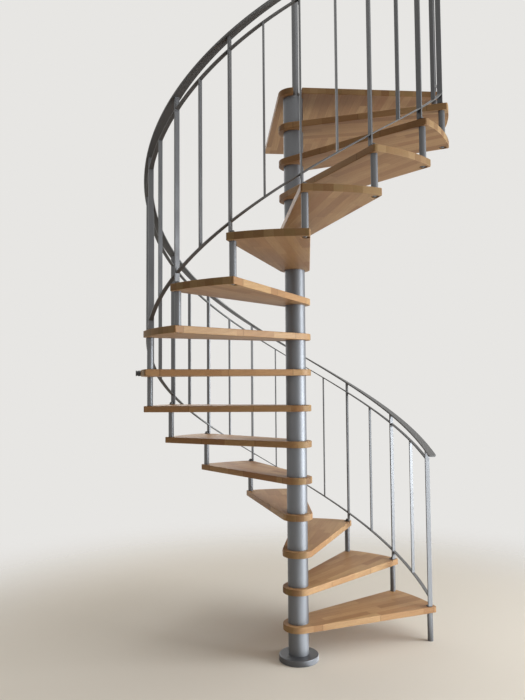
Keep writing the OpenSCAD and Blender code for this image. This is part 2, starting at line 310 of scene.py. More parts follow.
def bevel(obj, width, segments, angle=EDGE_ANGLE):
    m = obj.modifiers.new("eased edges", "BEVEL")
    m.width = width
    m.segments = segments
    m.limit_method = "ANGLE"
    m.angle_limit = math.radians(angle)


def cut(obj, cutter):
    m = obj.modifiers.new("cut", "BOOLEAN")
    m.operation = "DIFFERENCE"
    m.solver = "EXACT"
    m.object = cutter


# Node trees


def plug(tree, socket, value):
    """Links a socket to a node's output, or gives it a plain value."""
    if isinstance(value, bpy.types.NodeSocket):
        tree.links.new(value, socket)
    else:
        socket.default_value = value


def add(tree, kind, inputs, **settings):
    """A new node with these settings, and with these inputs by name or number."""
    node = tree.nodes.new(kind)
    for key, value in settings.items():
        setattr(node, key, value)
    for key, value in inputs.items():
        plug(tree, node.inputs[key], value)
    return node


def calc(tree, operation, *values):
    return add(tree, "ShaderNodeMath", dict(enumerate(values)), operation=operation).outputs[0]


# Geometry node trees for what repeats around the stair and for the rails that wind round it


def tree_with(name, inputs):
    """A geometry node tree with named inputs and one geometry output."""
    tree = bpy.data.node_groups.new(name, "GeometryNodeTree")
    for label, kind in inputs:
        tree.interface.new_socket(label, in_out="INPUT", socket_type="NodeSocket" + kind)
    tree.interface.new_socket("Geometry", in_out="OUTPUT", socket_type="NodeSocketGeometry")
    return tree, tree.nodes.new("NodeGroupInput").outputs, tree.nodes.new("NodeGroupOutput")


def finish_tree(tree, geometry, material, out):
    """Makes copies real, gives all faces the material and sends them out of the tree."""
    real = add(tree, "GeometryNodeRealizeInstances", {0: geometry})
    paint = add(tree, "GeometryNodeSetMaterial", {"Geometry": real.outputs[0], "Material": material})
    plug(tree, out.inputs[0], paint.outputs[0])


def ring_tree():
    """Copies of one piece round the stair, each a step further and a rise higher."""
    tree, sizes, out = tree_with(
        "stair ring",
        [("Piece", "Object"), ("Count", "Int"), ("First Angle", "Float"), ("Step Angle", "Float"),
         ("Base Height", "Float"), ("Rise", "Float"), ("Material", "Material")],
    )
    index = tree.nodes.new("GeometryNodeInputIndex").outputs[0]
    degrees = calc(tree, "MULTIPLY_ADD", index, sizes["Step Angle"], sizes["First Angle"])
    height = calc(tree, "MULTIPLY_ADD", index, sizes["Rise"], sizes["Base Height"])
    place = add(tree, "ShaderNodeCombineXYZ", {"Z": height})
    euler = add(tree, "ShaderNodeCombineXYZ", {"Z": calc(tree, "RADIANS", degrees)})
    rotation = add(tree, "FunctionNodeEulerToRotation", {0: euler.outputs[0]})
    points = add(tree, "GeometryNodePoints", {"Count": sizes["Count"], "Position": place.outputs[0]})
    piece = add(tree, "GeometryNodeObjectInfo", {"Object": sizes["Piece"]})
    copies = add(tree, "GeometryNodeInstanceOnPoints",
                 {"Points": points.outputs[0], "Instance": piece.outputs["Geometry"],
                  "Rotation": rotation.outputs[0]})
    finish_tree(tree, copies.outputs[0], sizes["Material"], out)
    return tree


def captured(tree, geometry, kind, value):
    """The geometry with a value kept on its points, and that value as read further on."""
    keep = tree.nodes.new("GeometryNodeCaptureAttribute")
    keep.capture_items.new(kind, "kept")
    plug(tree, keep.inputs[0], geometry)
    plug(tree, keep.inputs[1], value)
    return keep.outputs[0], keep.outputs[1]


def straight_bar(tree, sizes):
    """A straight bar with eased edges, and for each of its points the share of the length before
    it and its place in the section."""
    line = tree.nodes.new("GeometryNodeCurvePrimitiveLine")
    path = add(tree, "GeometryNodeResampleCurve",
               {"Curve": line.outputs[0], "Count": sizes["Stations"]}, mode="COUNT")
    share = tree.nodes.new("GeometryNodeSplineParameter").outputs["Factor"]
    straight, share = captured(tree, path.outputs[0], "FLOAT", share)
    section = add(tree, "GeometryNodeCurvePrimitiveQuadrilateral",
                  {"Width": sizes["Width"], "Height": sizes["Thickness"]})
    eased = add(tree, "GeometryNodeFilletCurve",
                {"Curve": section.outputs[0], "Count": RAIL_EDGE_STEPS, "Radius": sizes["Edge Radius"]},
                mode="POLY")
    place = tree.nodes.new("GeometryNodeInputPosition").outputs[0]
    loop, place = captured(tree, eased.outputs[0], "VECTOR", place)
    bar = add(tree, "GeometryNodeCurveToMesh",
              {"Curve": straight, "Profile Curve": loop, "Fill Caps": True})
    return bar.outputs[0], share, place


def taken(tree, corner, share, length):
    """How much a rounded corner takes off each side, at this share of the length from it."""
    left = calc(tree, "SUBTRACT", corner, calc(tree, "MULTIPLY", share, length))
    left = calc(tree, "MAXIMUM", left, 0.0)
    corner_square, left_square = (calc(tree, "MULTIPLY", v, v) for v in (corner, left))
    reach = calc(tree, "SQRT", calc(tree, "SUBTRACT", corner_square, left_square))
    return calc(tree, "SUBTRACT", corner, reach)


def narrowing(tree, sizes, share, length):
    """The share of its width that a bar keeps where its corners are rounded."""
    from_end = calc(tree, "SUBTRACT", 1.0, share)
    lost = calc(tree, "ADD", taken(tree, sizes["Start Corner"], share, length),
                taken(tree, sizes["End Corner"], from_end, length))
    half = calc(tree, "MULTIPLY", sizes["Width"], 0.5)
    return calc(tree, "DIVIDE", calc(tree, "SUBTRACT", half, lost), half)


def wound_tree():
    """A flat bar with eased edges that winds up round the stair, and whose ends may be rounded."""
    tree, sizes, out = tree_with(
        "wound bar",
        [("Radius", "Float"), ("Start Angle", "Float"), ("End Angle", "Float"),
         ("Start Height", "Float"), ("End Height", "Float"), ("Width", "Float"),
         ("Thickness", "Float"), ("Edge Radius", "Float"), ("Stations", "Int"),
         ("Start Corner", "Float"), ("End Corner", "Float"), ("Material", "Material")],
    )
    bar, share, place = straight_bar(tree, sizes)
    across = add(tree, "ShaderNodeSeparateXYZ", {0: place}).outputs

    # stations stand closer together towards the ends
    swing = calc(tree, "COSINE", calc(tree, "MULTIPLY", share, math.pi))
    share = calc(tree, "MULTIPLY_ADD", swing, -0.5, 0.5)

    def between(low, high):
        return calc(tree, "MULTIPLY_ADD", calc(tree, "SUBTRACT", high, low), share, low)

    angle = calc(tree, "RADIANS", between(sizes["Start Angle"], sizes["End Angle"]))
    height = between(sizes["Start Height"], sizes["End Height"])
    wound_by = calc(tree, "RADIANS", calc(tree, "SUBTRACT", sizes["End Angle"], sizes["Start Angle"]))
    run = calc(tree, "MULTIPLY", wound_by, sizes["Radius"])
    climb = calc(tree, "SUBTRACT", sizes["End Height"], sizes["Start Height"])
    slope = calc(tree, "ARCTAN2", climb, run)
    length = calc(tree, "DIVIDE", run, calc(tree, "COSINE", slope))
    kept = narrowing(tree, sizes, share, length)

    # the section stands square to the run: its height leans back along the turn
    radius = calc(tree, "MULTIPLY_ADD", across["X"], kept, sizes["Radius"])
    lean = calc(tree, "MULTIPLY", across["Y"], calc(tree, "SINE", slope))
    up = calc(tree, "MULTIPLY", across["Y"], calc(tree, "COSINE", slope))
    cosine, sine = calc(tree, "COSINE", angle), calc(tree, "SINE", angle)
    x = calc(tree, "MULTIPLY_ADD", lean, sine, calc(tree, "MULTIPLY", radius, cosine))
    y = calc(tree, "SUBTRACT", calc(tree, "MULTIPLY", radius, sine), calc(tree, "MULTIPLY", lean, cosine))
    spot = add(tree, "ShaderNodeCombineXYZ", {"X": x, "Y": y, "Z": calc(tree, "ADD", height, up)})
    wound_bar = add(tree, "GeometryNodeSetPosition", {"Geometry": bar, "Position": spot.outputs[0]})
    finish_tree(tree, wound_bar.outputs[0], sizes["Material"], out)
    return tree


def grown(name, tree, **sizes):
    """The plain mesh that a tree makes with these inputs, as an object."""
    obj = new_object(name, lambda bm: None)
    m = obj.modifiers.new(tree.name, "NODES")
    m.node_group = tree
    for item in tree.interface.items_tree:
        key = item.name.lower().replace(" ", "_")
        if item.in_out == "INPUT" and key in sizes:
            m[item.identifier] = sizes[key]
    return settle(obj)


# Materials


def shade(colour, factor):
    return tuple(c * factor for c in colour)


class Shader:
    """A material round one Principled shader, with short ways to add its other nodes."""

    def __init__(self, name, **plain):
        self.material = bpy.data.materials.new(name)
        self.material.use_nodes = True
        self.tree = self.material.node_tree
        self.tree.nodes.clear()
        self.principled = self.tree.nodes.new("ShaderNodeBsdfPrincipled")
        self.output = add(self.tree, "ShaderNodeOutputMaterial", {"Surface": self.principled.outputs[0]})
        for key, value in plain.items():
            self.set(key.replace("_", " ").title().replace("Ior", "IOR"), value)

    def set(self, label, value):
        plug(self.tree, self.principled.inputs[label], value)

    def use(self, kind, inputs, output=0, **settings):
        """One output of a new node."""
        return add(self.tree, kind, inputs, **settings).outputs[output]

    def math(self, operation, *values):
        return calc(self.tree, operation, *values)

    def attribute(self, name, output="Fac"):
        return self.use("ShaderNodeAttribute", {}, output, attribute_name=name)

    def object_place(self):
        return self.use("ShaderNodeTexCoord", {}, "Object")

    def scaled(self, vector, factors):
        return self.use("ShaderNodeVectorMath", {0: vector, 1: factors}, operation="MULTIPLY")

    def moved(self, vector, other):
        return self.use("ShaderNodeVectorMath", {0: vector, 1: other}, operation="ADD")

    def noise(self, vector, scale=1.0, detail=2.0, roughness=0.5, distortion=0.0):
        inputs = {"Vector": vector, "Scale": scale, "Detail": detail, "Roughness": roughness,
                  "Distortion": distortion}
        return self.use("ShaderNodeTexNoise", inputs)

    def spread(self, value, low, high, to_low, to_high):
        """Maps low to high onto to_low to to_high, and no further."""
        return self.use("ShaderNodeMapRange", {0: value, 1: low, 2: high, 3: to_low, 4: to_high})

    def ramp(self, value, stops):
        node = add(self.tree, "ShaderNodeValToRGB", {0: value})
        marks = node.color_ramp.elements
        while len(marks) < len(stops):
            marks.new(0.5)
        for mark, (place, colour) in zip(marks, stops):
            mark.position = place
            mark.color = (*colour, 1.0)
        return node.outputs[0]

    def mix(self, factor, a, b):
        """Colour a with this much of colour b."""
        node = add(self.tree, "ShaderNodeMix", {0: factor}, data_type="RGBA")
        colours = [s for s in node.inputs if s.type == "RGBA"]
        for socket, value in zip(colours, (a, b)):
            plug(self.tree, socket, (*value, 1.0) if isinstance(value, tuple) else value)
        return [s for s in node.outputs if s.type == "RGBA"][0]

    def bump(self, height, distance, strength):
        inputs = {"Height": height, "Distance": distance, "Strength": strength}
        self.set("Normal", self.use("ShaderNodeBump", inputs))


# Staves of beech and their finger joints
STAVE_W, STAVE_L = 0.042, 0.36
FINGER_W, FINGER_SLOPE = 0.0035, 2.6
GLUE_W, JOINT_SHARE = 0.00045, 0.0011
ROW_KEY, MOST_SHIFT, STAVE_APART = 3.7, 7.0, 5.0

# Colours of the staves and of their sawn ends, picked by chance, and of what is laid over them
STAVE_TONES = ((0.0, (0.345, 0.181, 0.077)), (0.25, (0.464, 0.268, 0.125)),
               (0.55, (0.537, 0.325, 0.152)), (0.8, (0.595, 0.383, 0.190)),
               (1.0, (0.428, 0.220, 0.094)))
SAWN_TONES = ((0.0, (0.165, 0.085, 0.033)), (0.3, (0.350, 0.213, 0.094)),
              (0.5, (0.210, 0.132, 0.049)), (0.75, (0.410, 0.262, 0.124)),
              (1.0, (0.190, 0.097, 0.040)))
HEARTWOOD = (0.325, 0.160, 0.070)
YEAR_RING = (0.30, 0.145, 0.062)
FIBRE = (0.27, 0.13, 0.055)
FLECK = (0.24, 0.11, 0.045)
PORE = (0.20, 0.095, 0.038)
GLUE = (0.16, 0.075, 0.030)


def lay_staves(s, place, board):
    """Rows of staves, each row shifted by chance: the place across the rows, the run along a row
    counted in staves, and what chance gives the stave."""
    parts = add(s.tree, "ShaderNodeSeparateXYZ", {0: place}).outputs
    along, across = parts["X"], parts["Y"]
    row = s.math("FLOOR", s.math("DIVIDE", across, STAVE_W))
    row_key = s.use("ShaderNodeCombineXYZ", {0: row, 1: board, 2: ROW_KEY})
    shift = s.use("ShaderNodeTexWhiteNoise", {0: row_key}, noise_dimensions="3D")
    finger = s.math("PINGPONG", across, FINGER_W)
    jagged = s.math("MULTIPLY_ADD", finger, FINGER_SLOPE, along)
    run = s.math("ADD", s.math("DIVIDE", jagged, STAVE_L), s.math("MULTIPLY", shift, MOST_SHIFT))
    stave = s.use("ShaderNodeCombineXYZ", {0: row, 1: s.math("FLOOR", run), 2: board})
    chance = add(s.tree, "ShaderNodeTexWhiteNoise", {0: stave}, noise_dimensions="3D").outputs
    return across, run, chance


def long_grain(s, own, pick):
    """Colour along the grain of the staves, and the fibres in it."""
    tone = s.ramp(pick, STAVE_TONES)
    cloud = s.noise(s.scaled(own, (2.2, 9.0, 9.0)), detail=3.0, roughness=0.55, distortion=0.4)
    tone = s.mix(s.spread(cloud, 0.35, 0.7, 0.0, 0.46), tone, HEARTWOOD)
    rings = s.use("ShaderNodeTexWave",
                  {"Vector": s.scaled(own, (1.1, 34.0, 26.0)), "Scale": 1.0, "Distortion": 7.5,
                   "Detail": 2.0, "Detail Scale": 0.8}, "Fac", wave_type="BANDS", bands_direction="DIAGONAL")
    tone = s.mix(s.math("MULTIPLY", rings, 0.16), tone, YEAR_RING)
    fibre = s.noise(s.scaled(own, (14.0, 420.0, 420.0)), detail=5.0, roughness=0.6)
    tone = s.mix(s.spread(fibre, 0.42, 0.75, 0.0, 0.24), tone, FIBRE)
    fleck = s.noise(s.scaled(own, (160.0, 1500.0, 700.0)), detail=1.0)
    tone = s.mix(s.spread(fleck, 0.64, 0.72, 0.0, 0.30), tone, FLECK)
    return tone, fibre


def sawn_grain(s, own, pick, tone):
    """Colour of the staves' sawn ends."""
    pores = s.noise(s.scaled(own, (300.0, 900.0, 900.0)))
    sawn = s.mix(s.spread(pores, 0.4, 0.7, 0.1, 0.5), tone, PORE)
    return s.mix(0.72, sawn, s.ramp(pick, SAWN_TONES))


def glue_lines(s, across, run, ends):
    """Glue lines between the rows of staves, and finger joints on faces along the grain."""
    seam = s.spread(s.math("PINGPONG", across, STAVE_W / 2), 0.0, GLUE_W, 0.55, 0.0)
    joint = s.spread(s.math("PINGPONG", run, 0.5), 0.0, JOINT_SHARE, 0.34, 0.0)
    joint = s.math("MULTIPLY", joint, s.math("SUBTRACT", 1.0, ends))
    return s.math("MAXIMUM", seam, joint)


def laminated_wood():
    """Oiled beech glued up from finger-jointed staves. It reads the boards' own attributes:
    grain is the place in the board, with X along the staves, and end_grain is 1 on sawn ends."""
    s = Shader("laminated beech", specular_ior_level=0.18, coat_weight=0.02, coat_roughness=0.3)
    place = s.attribute("grain", "Vector")
    ends = s.attribute("end_grain")
    across, run, chance = lay_staves(s, place, s.attribute("board"))
    own = s.moved(place, s.scaled(chance["Color"], (STAVE_APART, STAVE_APART, STAVE_APART)))
    tone, fibre = long_grain(s, own, chance["Value"])
    tone = s.mix(ends, tone, sawn_grain(s, own, chance["Value"], tone))
    lines = glue_lines(s, across, run, ends)
    s.set("Base Color", s.mix(lines, tone, GLUE))
    rough = s.spread(fibre, 0.3, 0.8, 0.42, 0.56)
    s.set("Roughness", s.math("ADD", rough, s.math("MULTIPLY", ends, 0.10)))
    s.bump(s.math("SUBTRACT", fibre, s.math("MULTIPLY", lines, 0.8)), 0.00012, 0.7)
    return s.material


def silver_paint(name, colour, roughness, metallic, scuffs=0.0):
    """Sprayed metallic paint: fine flakes, a soft orange peel, uneven gloss and a few rubbed marks."""
    s = Shader(name, metallic=metallic, coat_weight=0.12, coat_roughness=0.3, specular_ior_level=0.5)
    place = s.object_place()
    flake = s.use("ShaderNodeTexVoronoi", {"Vector": place, "Scale": 2600.0}, "Color")
    sparkle = s.use("ShaderNodeSeparateColor", {0: flake}, 0)
    tone = s.mix(s.spread(sparkle, 0.0, 1.0, 0.25, 0.75), shade(colour, 0.80), shade(colour, 1.16))
    cloud = s.noise(place, scale=5.0, detail=3.0, roughness=0.6)
    tone = s.mix(s.spread(cloud, 0.3, 0.7, 0.0, 0.22), tone, shade(colour, 0.78))
    rub = s.noise(s.scaled(place, (60.0, 60.0, 9.0)), detail=6.0, roughness=0.75)
    patch = s.noise(place, scale=7.0)
    marks = s.math("MULTIPLY", s.spread(rub, 0.60, 0.68, 0.0, 1.0), s.spread(patch, 0.5, 0.65, 0.0, 1.0))
    tone = s.mix(s.math("MULTIPLY", marks, 0.25 + scuffs), tone, shade(colour, 0.55))
    s.set("Base Color", tone)
    smear = s.noise(place, scale=22.0, detail=4.0, roughness=0.65)
    gloss = s.spread(smear, 0.3, 0.7, roughness - 0.02, roughness + 0.03)
    s.set("Roughness", s.math("ADD", gloss, s.math("MULTIPLY", marks, 0.05)))
    s.bump(s.noise(place, scale=650.0), 0.00003, 0.5)
    return s.material


def plated_steel(name, colour, roughness):
    """Turned or plated steel: bright metal with brushed rings and dull spots."""
    s = Shader(name, metallic=0.9, specular_ior_level=0.5)
    place = s.object_place()
    spots = s.noise(place, scale=160.0, detail=4.0, roughness=0.7)
    s.set("Base Color", s.mix(s.spread(spots, 0.35, 0.7, 0.0, 0.7), colour, shade(colour, 0.55)))
    brushed = s.noise(s.scaled(place, (30.0, 30.0, 2600.0)))
    s.set("Roughness", s.spread(brushed, 0.3, 0.7, roughness - 0.08, roughness + 0.12))
    s.bump(brushed, 0.00005, 0.5)
    return s.material


beech = laminated_wood()
sleeve_paint = silver_paint("silver grey sleeve paint", (0.164, 0.169, 0.179), 0.49, 0.7)
# Painted dark reflection: the flange's paint is darker than the sleeves' to stand for the dark surroundings
# its top reflects.
flange_paint = silver_paint("silver grey flange paint", (0.110, 0.113, 0.120), 0.46, 0.7, 0.3)
spacer_paint = silver_paint("silver grey spacer paint", (0.152, 0.155, 0.161), 0.48, 0.65)
bar_paint = silver_paint("silver grey bar paint", (0.158, 0.160, 0.165), 0.49, 0.6)
rail_paint = silver_paint("silver grey rail paint", (0.130, 0.129, 0.127), 0.46, 0.5)
newel_paint = silver_paint("silver grey newel paint", (0.164, 0.166, 0.173), 0.48, 0.6)
dark_paint = silver_paint("dark grey cap paint", (0.055, 0.056, 0.060), 0.45, 0.2)
bolt_steel = plated_steel("plated bolt steel", (0.24, 0.235, 0.225), 0.40)
core_steel = plated_steel("bare core tube steel", (0.30, 0.29, 0.28), 0.5)
cap_steel = plated_steel("dark cap nut steel", (0.13, 0.125, 0.12), 0.38)


# Boards


def tread_outline():
    """A wedge with a round collar and rounded outer corners, its front bolt on the X axis."""
    taper = math.degrees(math.asin((COLLAR_R - BOLT_MARGIN) / BOLT_R))
    across = COLLAR_R - CORNER_R
    along = math.sqrt((STAIR_R - CORNER_R) ** 2 - across ** 2)
    centre = along * polar(1.0, taper) + across * polar(1.0, taper - 90.0)
    centre_angle = math.degrees(math.atan2(centre.y, centre.x))
    corner = arc(centre, CORNER_R, taper - 90.0, centre_angle, CORNER_STEPS)
    rim = arc(Vector(), STAIR_R, centre_angle, STEP - centre_angle, RIM_STEPS)
    middle = STEP / 2
    mirror = Matrix.Rotation(math.radians(middle), 3, "Z") @ Matrix.Scale(-1, 3, (0, 1, 0))
    mirror = mirror @ Matrix.Rotation(math.radians(-middle), 3, "Z")
    back = [mirror @ p for p in reversed(corner)]
    collar = arc(Vector(), COLLAR_R, STEP + 90.0 - taper, 270.0 + taper, COLLAR_STEPS)
    return corner + rim[1:-1] + back + collar


def landing_outline():
    """A square board with a round collar, and a slot in its front edge that the newel passes."""
    r, c, slot_r = COLLAR_R, CORNER_R, SLOT_W / 2
    slot_x = NEWEL_X - NEWEL_R - NEWEL_PLAY + slot_r
    slot = arc(Vector((slot_x, NEWEL_Y, 0)), slot_r, 180.0, 0.0, SLOT_STEPS)
    mouth = Vector((slot_x - slot_r, -math.sqrt(r * r - (slot_x - slot_r) ** 2), 0))
    points = [Vector((slot_x + slot_r, -r, 0))]
    right, back = LANDING_X - c, LANDING_Y - c
    for x, y, start in ((right, -r + c, -90.0), (right, back, 0.0), (-r + c, back, 90.0)):
        points += arc(Vector((x, y, 0)), c, start, start + 90.0, CORNER_STEPS)
    points += arc(Vector(), r, -180.0, math.degrees(math.atan2(mouth.y, mouth.x)), LANDING_COLLAR_STEPS)
    return points + slot


def bore(r, at=Vector()):
    """A cutter right through a board, as a profile and its place."""
    return drill(r, -PAST, BOARD_T + PAST), Matrix.Translation(at)


def board_cutter(name, shapes):
    """One object made of lathed cutters: (profile, place) for each."""
    def fill(bm):
        for profile, place in shapes:
            lathe(bm, profile, TUBE_FACETS, place)
    return new_object(name, fill)


# End grain starts where a face's normal leans this far along the staves, and grows over this range
END_FROM, END_OVER = 0.45, 0.35


def mark_grain(obj, to_board, number, twist):
    """Writes each point's place in its board, whose staves run in the direction twist, and which
    faces are sawn ends."""
    mesh = obj.data
    chance = random.Random(number * 17 + 5)
    offset = Vector((chance.uniform(0, 3), chance.uniform(0, 0.04), chance.uniform(0, 1)))
    local = Matrix.Rotation(math.radians(-twist), 4, "Z") @ to_board
    places = []
    for v in mesh.vertices:
        places.extend(local @ v.co + offset)
    mesh.attributes.new("grain", "FLOAT_VECTOR", "POINT").data.foreach_set("vector", places)
    turned = local.to_3x3()
    leans = [abs((turned @ f.normal).x) for f in mesh.polygons]
    ends = [min(1.0, max(0.0, (lean - END_FROM) / END_OVER)) for lean in leans]
    mesh.attributes.new("end_grain", "FLOAT", "FACE").data.foreach_set("value", ends)
    numbers = [float(number)] * len(mesh.vertices)
    mesh.attributes.new("board", "FLOAT", "POINT").data.foreach_set("value", numbers)


def board(name, outline, place, cutters, number, twist, slot):
    """A board with eased edges and its bores, put in place and marked for its grain."""
    obj = new_object(name + "_board", lambda bm: prism(bm, outline, flat(0.0), flat(BOARD_T)))
    bevel(obj, BOARD_EDGE, BOARD_EDGE_STEPS)
    cutter = board_cutter(name + "_cutter", cutters)
    cut(obj, cutter)
    settle(obj, BOARD_SMOOTH_ANGLE)
    bpy.data.objects.remove(cutter)
    obj.data.transform(place)
    mark_grain(obj, place.inverted(), number, twist)
    wear(obj, beech, slot, name)


def tread(n, outline):
    """A tread with its bores and its nut's pocket, and in one the hole for the spacer's screw."""
    cutters = [bore(CORE_BORE), bore(ROD_BORE, polar(BOLT_R, 0)),
               (POCKET, Matrix.Translation(polar(BOLT_R, STEP)))]
    if n == SCREW_TREAD:
        hole = drill(SCREW_HOLE_R, STAIR_R - SCREW_HOLE_DEPTH, STAIR_R + PAST)
        cutters.append((hole, turn(STEP / 2, BOARD_T / 2) @ ALONG_X))
    place = turn(bolt_angle(n), n * RISE - BOARD_T)
    board("tread_%02d" % n, outline, place, cutters, n, STEP / 2, "tread_wood")


def landing():
    """The square board at the top, with the bore of its front bolt and staves from front to back."""
    cutters = [bore(ROD_BORE, polar(BOLT_R, -LANDING_SKEW))]
    place = turn(LANDING_TURN, COLUMN_TOP)
    board("landing", landing_outline(), place, cutters, LANDING, 90.0, "landing_wood")


wedge = tread_outline()
for n in range(1, LANDING):
    tread(n, wedge)
landing()


# The column


def draw_sleeves(bm):
    """A sleeve below each board. The lowest stands on the flange, the highest carries the head disc."""
    lengths = [(FLANGE_H, BOARD_GAP)]
    lengths += [(n * RISE, n * RISE + BOARD_GAP) for n in range(1, TREADS)]
    lengths += [(TREADS * RISE, COLUMN_TOP - HEAD_T)]
    for z0, z1 in lengths:
        lathe(bm, tube(SLEEVE_R, SLEEVE_WALL, z0, z1), SLEEVE_FACETS)


def draw_flange(bm):
    """The round flange at the column's foot, with an eased rim."""
    profile = [(0, 0), (FLANGE_R - FLANGE_FOOT, 0), (FLANGE_R, FLANGE_FOOT)]
    profile += stepped(FLANGE_R, FLANGE_H, FLANGE_RIM)
    lathe(bm, profile + [(0, FLANGE_H)], FLANGE_FACETS)


def draw_anchors(bm):
    """The anchors' heads, sunk a little into the flange."""
    for angle in ANCHOR_ANGLES:
        at = Matrix.Translation(polar(ANCHOR_PCD / 2, angle, FLANGE_H - ANCHOR_SUNK))
        lathe(bm, ANCHOR_HEAD, HEAD_FACETS, at)


def draw_head(bm):
    """The disc that closes the top of the column."""
    r, low, top = SLEEVE_R, COLUMN_TOP - HEAD_T, COLUMN_TOP
    lathe(bm, [(0, low), (r - HEAD_FOOT, low), (r, low + HEAD_FOOT), (r, top - HEAD_RIM),
               (r - HEAD_RIM, top), (0, top)], SLEEVE_FACETS)


finished("sleeve_tubes", draw_sleeves, sleeve_paint, "sleeve_paint", "column_sleeves")
finished("flange_disc", draw_flange, flange_paint, "flange_paint", "base_flange")
# Painted dark reflection: the anchor heads get the dark cap steel to stand for the dark surroundings the
# flange's top reflects.
finished("anchor_heads", draw_anchors, cap_steel, "bolt_steel")
finished("head_disc", draw_head, sleeve_paint, "sleeve_paint", "column_head")

# the core tube is hidden in the column, so its solid stays and only gets its steel
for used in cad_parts["core_tube"].material_slots:
    used.material = core_steel


# The outer spacers, their rods and the balusters


def draw_spacer(bm):
    """A spacer tube below a board's front bolt."""
    lathe(bm, tube(SPACER_R, SPACER_WALL, 0, BOARD_GAP), TUBE_FACETS, AT_BOLT)


def hexagon(bm, r, z0, z1, place):
    """A hexagonal nut, still with sharp corners."""
    corners = [polar(r, 60 * i + NUT_TURN) for i in range(6)]
    prism(bm, corners, flat(z0), flat(z1), place)


def draw_cap_nut(bm):
    """The upper end of a rod, with its washer and domed cap nut on a main baluster's foot plate."""
    washer_top = FOOT_T + WASHER_T
    nut_top = washer_top + CAP_NUT_T
    lathe(bm, [(0, -ROD_SHOWN), (ROD_R, -ROD_SHOWN), (ROD_R, FOOT_T), (WASHER_R, FOOT_T),
               (WASHER_R, washer_top), (0, washer_top)], NUT_FACETS, AT_BOLT)
    hexagon(bm, CAP_NUT_R, washer_top, nut_top, AT_BOLT)
    low = nut_top - DOME_SUNK
    dome = [(0, low)]
    for i in range(DOME_STEPS):
        a = math.radians(90 * i / DOME_STEPS)
        dome.append((DOME_R * math.cos(a), low + DOME_H * math.sin(a)))
    lathe(bm, dome + [(0, low + DOME_H)], NUT_FACETS, AT_BOLT)


def draw_pocket_nut(bm):
    """The lower end of a rod, with its washer and nut under the pocket's roof."""
    roof = AT_BOLT @ Matrix.Translation((0, 0, POCKET_H))
    washer_low = -POCKET_WASHER_T
    nut_low = washer_low - NUT_T
    tip = nut_low - ROD_OUT
    lathe(bm, [(0, -AIR), (POCKET_WASHER_R, -AIR), (POCKET_WASHER_R, washer_low), (0, washer_low)],
          HEAD_FACETS, roof)
    hexagon(bm, NUT_R, nut_low, washer_low, roof)
    lathe(bm, [(0, washer_low), (ROD_R, washer_low), (ROD_R, tip + ROD_TIP_H),
               (ROD_R - ROD_TIP_IN, tip), (0, tip)], ROD_FACETS, roof)


def bar(bm, width, thick, bottom, top, place=Matrix()):
    """A flat bar that stands on the rails' line, with width along the radius."""
    plan = oblong(RAIL_R - width / 2, RAIL_R + width / 2, -thick / 2, thick / 2)
    prism(bm, plan, bottom, top, place)


def draw_main(bm):
    """A main baluster from its foot plate up to the handrail, cut to the slope at the top."""
    bar(bm, MAIN_W, MAIN_T, flat(FOOT_T - MAIN_SUNK), sloping(HANDRAIL_UP - SEAT_GAP),
        turn(-AHEAD_ANGLE))


def draw_foot(bm):
    """The plate under a main baluster that its bolt clamps to the tread."""
    x0, x1 = RAIL_R - MAIN_W / 2, RAIL_R + MAIN_W / 2
    r, y = FOOT_CORNER_R, MAIN_AHEAD - FOOT_CORNER_R
    plan = [Vector((x0, -MAIN_AHEAD, 0)), Vector((x1, -MAIN_AHEAD, 0))]
    plan += arc(Vector((x1 - r, y, 0)), r, 0.0, 90.0, FOOT_STEPS)
    plan += arc(Vector((x0 + r, y, 0)), r, 90.0, 180.0, FOOT_STEPS)
    prism(bm, plan, flat(0.0), flat(FOOT_T))


def draw_infill(bm):
    """A thinner baluster between the two thin rails, cut to the slope at both ends."""
    bar(bm, INFILL_W, INFILL_T, sloping(BOTTOM_UP + RAIL_T + SEAT_GAP), sloping(SECOND_UP - SEAT_GAP))


def draw_clips(bm, heights):
    """Small angle pieces that hold rails at these heights to a main baluster."""
    x0, x1, face = RAIL_R - CLIP_HALF_W, RAIL_R + CLIP_HALF_W, -MAIN_T / 2
    place = turn(-AHEAD_ANGLE)
    for up in heights:
        prism(bm, oblong(x0, x1, face - CLIP_REACH, face), sloping(up - CLIP_T - AIR), sloping(up - AIR),
              place)
        prism(bm, oblong(x0, x1, face - CLIP_T, face), sloping(up - CLIP_DROP), sloping(up - CLIP_T),
              place)


ring = ring_tree()


def round_stair(name, draw, count, first_angle, base, material, slot, *nodes, edge=0.0,
                edge_angle=EDGE_ANGLE):
    """Makes a piece from what draw(bm) draws, repeated round the stair as one mesh."""
    one = new_object(name + "_one", draw)
    if edge:
        bevel(one, edge, EDGE_STEPS, edge_angle)
        settle(one)
    many = grown(name, ring, piece=one, count=count, first_angle=first_angle, step_angle=STEP,
                 base_height=base, rise=RISE, material=material)
    bpy.data.objects.remove(one)
    wear(many, material, slot, *nodes)


round_stair("rim_tubes", draw_spacer, LANDING, FIRST, 0.0, spacer_paint, "spacer_paint", "spacer_tubes")
round_stair("cap_nuts", draw_cap_nut, LANDING, FIRST, RISE, cap_steel, "bolt_steel", "spacer_rods",
            edge=NUT_EDGE, edge_angle=NUT_EDGE_ANGLE)
round_stair("pocket_nuts", draw_pocket_nut, TREADS, FIRST + STEP, RISE - BOARD_T, bolt_steel, "bolt_steel",
            edge=NUT_EDGE, edge_angle=NUT_EDGE_ANGLE)
round_stair("main_bars", draw_main, LANDING, FIRST, RISE, bar_paint, "baluster_paint", "main_balusters",
            edge=BAR_EDGE)
round_stair("foot_plates", draw_foot, LANDING, FIRST, RISE, dark_paint, "baluster_paint", edge=FOOT_EDGE)
round_stair("infill_bars", draw_infill, TREADS, main_angle(1) + STEP / 2, RISE * 1.5, bar_paint,
            "baluster_paint", "infill_balusters", edge=BAR_EDGE)
